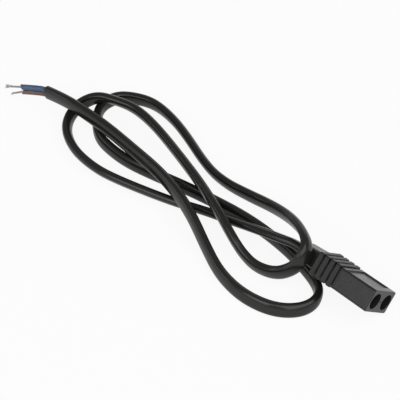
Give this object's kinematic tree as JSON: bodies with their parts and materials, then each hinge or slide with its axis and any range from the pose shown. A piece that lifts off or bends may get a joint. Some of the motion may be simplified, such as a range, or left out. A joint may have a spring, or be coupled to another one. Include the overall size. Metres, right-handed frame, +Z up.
{
  "type": "fan power cable",
  "caption": "Flat black two-core power cord, loosely folded, with a moulded two-socket fan connector on one end and stripped blue and brown wires on the other.",
  "frame": {"origin": "middle of the connector's box, on the table it lies on", "axes": "+X the way the connector's sockets point, +Z up from the table, +Y to the left of +X seen from above"},
  "size_m": [0.1698, 0.0496, 0.0196],
  "materials": {
    "moulding": "matt black soft plastic",
    "sheath": "satin black soft plastic",
    "blue_insulation": "satin",
    "brown_insulation": "satin",
    "contact": "plain sheet brass",
    "wire": "tinned copper"
  },
  "bodies": {
    "root": {"connector_body": "moulding", "cable_sheath": "sheath", "blue_lead": "blue_insulation", "brown_lead": "brown_insulation", "blue_core_end": "blue_insulation", "brown_core_end": "brown_insulation", "blue_contact": "contact", "brown_contact": "contact", "blue_crimped_wire": "wire", "brown_crimped_wire": "wire", "blue_bare_wire": "wire", "brown_bare_wire": "wire"}
  },
  "joints": []
}
